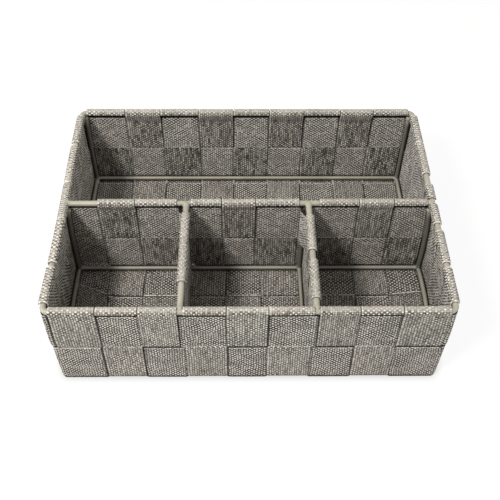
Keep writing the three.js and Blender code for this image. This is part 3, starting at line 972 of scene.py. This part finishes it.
def girth(height, flare=0.0):
    """One turn round the four walls, which passes every upright strap on its other side."""

    def turned(spans):
        return [(-high, -low) for low, high in reversed(spans)]

    half_x, half_y = WALL_X + flare, WALL_Y + flare
    side_gaps = [MIDDLE_CREASE] * 4
    walls = (
        ((1, 0), (0, -1), half_x, half_y, front_columns, FRONT_GAPS[height]),
        ((0, 1), (1, 0), half_y, half_x, right_wide, side_gaps),
        ((-1, 0), (0, 1), half_x, half_y, turned(back_columns), BACK_GAPS[height][::-1]),
        ((0, -1), (-1, 0), half_y, half_x, turned(left_wide), side_gaps),
    )
    path = []
    side = -1 if height == "upper" else 1
    for along, out, length, distance, crossings, gaps in walls:
        along, out = np.array(along), np.array(out)
        for this, after, depth in zip(crossings, crossings[1:], gaps):
            leave = this[1] if side < 0 else after[0] - SEAM
            path.append(dip(
                along * leave + out * (distance + side * WEAVE_OFFSET),
                along * (leave + SEAM) + out * (distance - side * WEAVE_OFFSET),
                depth,
            ))
            side = -side
        reach, turn = bend(-side, WIRE_INSET)
        for spot, angle in zip(reach, turn):
            run = length - WIRE_INSET + spot * math.sin(angle)
            point = along * run + out * (distance - WIRE_INSET + spot * math.cos(angle))
            path.append(unmarked([point]))
        side = -side
    # At the front left corner the upper girth gets painted shade where it changes sides beside the first
    # strap
    if height == "upper":
        path.append([(front_columns[0][0] - CORNER_GAP, -half_y - side * WEAVE_OFFSET, DEEP_CREASE)])
    return np.vstack(path)


def upper_girth_shade(path):
    """Little at the front wall, whose outer face is seen, and more at the others."""
    on_front = path[:, 1] < WALL_ZONE - WALL_Y
    on_back = path[:, 1] > WALL_Y - WALL_ZONE
    return np.where(on_front, FRONT_SHADE, np.where(on_back, BACK_SHADE, SIDE_SHADE))


def lower_girth_shade(path):
    """Only at the front wall, right of its first column, where the straps above stand out."""
    below_straps = (path[:, 1] < WALL_ZONE - WALL_Y) & (path[:, 0] > front_columns[0][1])
    return np.where(below_straps, SEAM_SHADE, 0.0)


def lower_girth_bottom(path):
    """The lower girth's bottom edge, which is drawn up a little round the corners."""
    from_corner = np.hypot(WALL_X - np.abs(path[:, 0]), WALL_Y - np.abs(path[:, 1]))
    return BAND_BOTTOM + CORNER_LIFT * np.exp(-(from_corner / CORNER_LIFT) ** 2)


upper_bottom, lower_top = BAND_SPLIT + BAND_SEAM / 2, BAND_SPLIT - BAND_SEAM / 2
for height, flare, low, high, shade in (
    ("upper", 0.0, fixed(upper_bottom), fixed(BAND_REACH), upper_girth_shade),
    ("lower", WALL_FLARE, lower_girth_bottom, fixed(lower_top), lower_girth_shade),
):
    edges = [(girth(height, flare), low), (girth(height), high)]
    tape(f"girth_strap_{height}", edges, placed(0, 1, 2), closed=True, level=True, shade=shade)


# Wires


def tube(node, path, radius, closed=False, sides=20):
    """A round wire along a path in space, whose coating is a little thicker here and there."""
    count = len(path)
    radii = radius + wander(np.random.default_rng(len(pieces)), count, COATING_WANDER, closed)
    along = unit(headings(path, closed))
    reference = (0, 0, 1) if abs(along[0][2]) < 0.9 else (1, 0, 0)
    first = unit(np.cross(along, reference))
    second = np.cross(along, first)
    angles = 2 * math.pi * np.arange(sides) / sides
    cosines, sines = np.cos(angles)[None, :, None], np.sin(angles)[None, :, None]
    ring = first[:, None, :] * cosines + second[:, None, :] * sines
    points = (path[:, None, :] + ring * radii[:, None, None]).reshape(-1, 3)
    rows = np.arange(count if closed else count - 1)
    here, there = rows * sides, (rows + 1) % count * sides
    side = np.arange(sides)
    turn = (side + 1) % sides
    corners = ((here, side), (here, turn), (there, turn), (there, side))
    quads = np.stack([row[:, None] + spot for row, spot in corners], axis=-1).reshape(-1, 4)
    if not closed:
        ends = []
        for start, order in ((0, -1), ((count - 1) * sides, 1)):
            loop = start + side[::order]
            for step in range(1, sides // 2):
                ends.append((loop[step - 1], loop[step], loop[-1 - step], loop[-step]))
        quads = np.vstack((quads, ends))
    piece = make_mesh(f"{node}_coated", bowed(points), quads, wire_look)
    dress(piece, node)


def wire_ring(node, half_x, half_y, height, corner, radius):
    """A closed level wire with rounded corners."""
    path = np.vstack([
        arc((sign_x * (half_x - corner), sign_y * (half_y - corner)), corner, start, start + 90)
        for sign_x, sign_y, start in ((1, -1, -90), (1, 1, 0), (-1, 1, 90), (-1, -1, 180))
    ])
    path = spaced(path, int(path_length(path, True) / RING_STEP), True)
    tube(node, np.column_stack((path, np.full(len(path), height))), radius, True)


def straight_wire(node, start, end, radius):
    """A straight wire that swells a little into the weld at each end."""
    start, end = np.array(start, float), np.array(end, float)
    length = np.linalg.norm(end - start)
    share = np.linspace(0, 1, int(length / WIRE_STEP))
    path = start + share[:, None] * (end - start)
    from_end = np.minimum(share, 1 - share) * length
    weld = WELD_SWELL * radius * np.exp(-((from_end - radius) / WELD_REACH) ** 2) * (from_end > 0)
    tube(node, path, radius + weld)


wire_ring("rim_wire", RIM_X, RIM_Y, RIM_Z, RIM_CORNER_RADIUS, RIM_WIRE_RADIUS)
wire_ring("base_wire", BASE_X, BASE_Y, BASE_Z, BASE_CORNER_RADIUS, FRAME_WIRE_RADIUS)


def post(node, x, y, top):
    """A post on the base wire."""
    straight_wire(node, (x, y, BASE_Z), (x, y, top), FRAME_WIRE_RADIUS)


for front_back, sign_y in (("front", -1), ("back", 1)):
    for left_right, sign_x in (("left", -1), ("right", 1)):
        corner_name = f"corner_post_{front_back}_{left_right}"
        post(corner_name, sign_x * BASE_X, sign_y * BASE_Y, RIM_Z - RIM_WIRE_RADIUS)


# Dividing walls


def dividing_wall(
    name, line, turn, top_wire, base_wire, posts, post_top, ends, columns, first, sides, past_post=False
):
    """A wall's wires, its upright straps and its two bands.

    turn puts a point along the wall, across it and up it into the basket. The posts stand at the
    base wire's ends, on side 1. past_post says that the upper band passes outside the second post.
    """
    straight_wire(f"{name}_top_wire", *(turn(spot, line, RIM_Z) for spot in top_wire), RIM_WIRE_RADIUS)
    post_line = line - WIRE_INSET
    base_ends = [turn(spot, post_line, BASE_Z) for spot in base_wire]
    straight_wire(f"{name}_base_wire", *base_ends, FRAME_WIRE_RADIUS)
    for end, (x, y, _) in zip(posts, base_ends):
        post(f"{name}_post_{end}", x, y, post_top)

    def hang(out, up, along):
        return np.column_stack(turn(along, line - out, up))

    for index, (span, side) in enumerate(zip(columns, sides)):
        path = np.vstack((loop_points(side, 0, MIDDLE_CREASE), [(-side * WEAVE_OFFSET, FLOOR_TOP, 0)]))
        edges = [(path, fixed(edge)) for edge in span]
        tape(f"{name}_upright_strap_{first + index}", edges, hang)

    def stand(along, out, up):
        return np.column_stack(turn(along, line - out, up))

    all_sides = [-1, *sides]
    for height, lay, low, high, shade in (
        ("upper", -1, upper_bottom, BAND_REACH, DIVIDER_SHADE),
        ("lower", 1, RAISED_BOTTOM, lower_top, 0.0),
    ):
        start, end = ends[height]
        spans = [(start, columns[0][0] - SEAM), *columns]
        reach = [spot * lay * WEAVE_OFFSET for spot in all_sides]
        path = [unmarked([(start, reach[0])])]
        for index in range(1, len(spans)):
            if reach[index] != reach[index - 1]:
                depth = DEEP_CREASE if reach[index - 1] < 0 else MIDDLE_CREASE
                path.append(dip(
                    (spans[index - 1][1], reach[index - 1]),
                    (spans[index][0], reach[index]),
                    depth if height == "upper" else MIDDLE_CREASE,
                ))
        if past_post and height == "upper":
            before_post = (base_wire[1] - FRAME_WIRE_RADIUS, POST_PASS)
            path.append(unmarked([(spans[-1][1], reach[-1]), before_post, (end, POST_PASS)]))
        else:
            path.append(unmarked([(end, reach[-1])]))
        path = np.vstack(path)
        edges = [(path, fixed(low)), (path, fixed(high))]
        tape(f"{name}_band_{height}", edges, stand, level=True, shade=fixed(shade))


divider_columns = []
divider_parts = zip(stretches(-INNER_X, BASE_EDGE_X, WRAP_CLEAR), DIVIDER_PARTS)
for (start, end), (bare_left, shares, bare_right) in divider_parts:
    divider_columns += spread(start + bare_left, end - bare_right, shares)

dividing_wall(
    name="divider",
    line=DIVIDER_Y,
    turn=lambda along, across, up: (along, across, up),
    top_wire=(-RIM_X, RIM_X),
    base_wire=(-BASE_X, BASE_X),
    posts=("left", "right"),
    post_top=RIM_Z - POST_DROP,
    ends={"upper": (-UPPER_INNER_X, UPPER_INNER_X), "lower": (-INNER_X, INNER_X)},
    columns=divider_columns,
    first=2,
    sides=(1, -1, -1, 1, -1, -1, 1, -1),
)

for side_name, (front, between, back, shares) in PARTITION_STRAPS.items():
    band_ends = (-INNER_Y, DIVIDER_Y - WEAVE_HALF - CLEARANCE)
    dividing_wall(
        name=f"{side_name}_partition",
        line=PARTITION_X[side_name],
        turn=lambda along, across, up: (across, along, up),
        top_wire=(-RIM_Y, DIVIDER_Y),
        base_wire=(-BASE_Y, DIVIDER_Y - WIRE_INSET),
        posts=("front", "back"),
        post_top=POST_TOP,
        ends={"upper": band_ends, "lower": band_ends},
        columns=spread(-RIM_Y + WRAP_CLEAR + front, DIVIDER_Y - WRAP_CLEAR - back, shares, [between]),
        first=1,
        sides=(-1, 1),
        past_post=True,
    )


# Floor, light and camera

FLOOR_HALF = 3000.0
PAPER = ((0.0, (0.78, 0.78, 0.78)), (1.0, (0.82, 0.82, 0.82)))
FLOOR_GLOW = 0.9
# Painted contact shadow on the floor: how far it reaches and how deep it is
CONTACT_REACH = 7.0
CONTACT_SHADE = 0.5

WORLD_COLOUR = (1.0, 0.99, 0.975, 1)
WORLD_STRENGTH = 0.595

# Softboxes: direction from the basket, width in metres and power. And their distance, aim and colour.
LAMPS = {
    "key": ((-0.52, -0.6, 1.0), 0.2, 16.0),
    "fill_right": ((0.9, -0.1, 0.42), 0.6, 4.0),
    "fill_left": ((-0.9, -0.1, 0.5), 0.6, 7.4),
}
LAMP_DISTANCE = 1.4
LAMP_AIM = (0, 0, 0.04)
LAMP_COLOUR = (1.0, 0.985, 0.96)

# Camera: its lens and sensor, its place, and how far it looks down, turns right and rolls, in degrees
CAMERA_LENS = 56.21
CAMERA_SENSOR = 36
CAMERA_PLACE = (-6.93, -466.16, 562.06)
CAMERA_ANGLES = (49.103, 1.06, 0.694)


def floor_material():
    """Pale matte paper. The camera sees it near white, with a faint real shadow of the basket,
    and a painted contact shadow round its foot.
    """
    graph = Graph(bpy.data.materials.new("floor_paper"))
    grain = graph.ramp(graph.noise(graph.place(), 300.0), PAPER)
    paper = graph.add("BsdfDiffuse", {"Color": grain})
    seen = graph.add("BsdfDiffuse", {"Color": (0.9, 0.9, 0.9, 1)})
    # Painted contact shadow: the floor's glow is dimmer where the basket is close
    bare = graph.mix(graph.open_air(CONTACT_REACH, 8), 1 - CONTACT_SHADE, 1.0)
    glow = graph.add("Emission", {"Color": (1, 1, 1, 1), "Strength": bare})
    bright = graph.mix_shaders(FLOOR_GLOW, seen.outputs[0], glow.outputs[0])
    either = graph.mix_shaders(graph.direct(), paper.outputs[0], bright)
    graph.tree.nodes.remove(graph.tree.nodes["Principled BSDF"])
    graph.set(graph.tree.nodes["Material Output"].inputs["Surface"], either)
    return graph.owner


def make_floor():
    corners = np.array([(-1, -1, 0), (1, -1, 0), (1, 1, 0), (-1, 1, 0)]) * FLOOR_HALF
    floor = make_mesh("floor", corners, np.array([(0, 1, 2, 3)]), floor_material())


def make_world():
    graph = Graph(bpy.data.worlds.new("studio"))
    lit = graph.tree.nodes["Background"]
    graph.set(lit.inputs["Color"], WORLD_COLOUR)
    graph.set(lit.inputs["Strength"], WORLD_STRENGTH)
    seen = graph.add("Background", {"Color": (1, 1, 1, 1)})
    either = graph.mix_shaders(graph.direct(), lit.outputs[0], seen.outputs[0])
    graph.set(graph.tree.nodes["World Output"].inputs["Surface"], either)
    bpy.context.scene.world = graph.owner


def make_lamp(name, toward, size, power):
    """A square softbox in the given direction from the basket, facing it."""
    lamp = bpy.data.lights.new(name, "AREA")
    lamp.shape = "SQUARE"
    lamp.size = size
    lamp.energy = power
    lamp.color = LAMP_COLOUR
    holder = put(name, lamp)
    direction = Vector(toward).normalized()
    holder.location = direction * LAMP_DISTANCE + Vector(LAMP_AIM)
    holder.rotation_mode = "QUATERNION"
    holder.rotation_quaternion = (-direction).to_track_quat("-Z", "Y")


def make_camera():
    """The photograph's viewpoint: a little left of the middle, looking down at 49 degrees."""
    camera = bpy.data.cameras.new("camera")
    camera.sensor_width = CAMERA_SENSOR
    camera.lens = CAMERA_LENS
    camera.clip_start = 0.02
    camera.clip_end = 20
    holder = put("camera", camera)
    pitch, yaw, roll = (math.radians(angle) for angle in CAMERA_ANGLES)
    level = math.cos(pitch)
    forward = Vector((math.sin(yaw) * level, math.cos(yaw) * level, -math.sin(pitch)))
    right = Vector((math.cos(yaw), -math.sin(yaw), 0))
    up = right.cross(forward)
    across = math.cos(roll) * right + math.sin(roll) * up
    upward = -math.sin(roll) * right + math.cos(roll) * up
    turn = Matrix((across, upward, -forward)).transposed()
    holder.matrix_world = Matrix.Translation(Vector(CAMERA_PLACE) * MM) @ turn.to_4x4()
    bpy.context.scene.camera = holder


make_floor()
make_world()
for name, settings in LAMPS.items():
    make_lamp(name, *settings)
make_camera()
bpy.context.scene.view_settings.view_transform = "Standard"
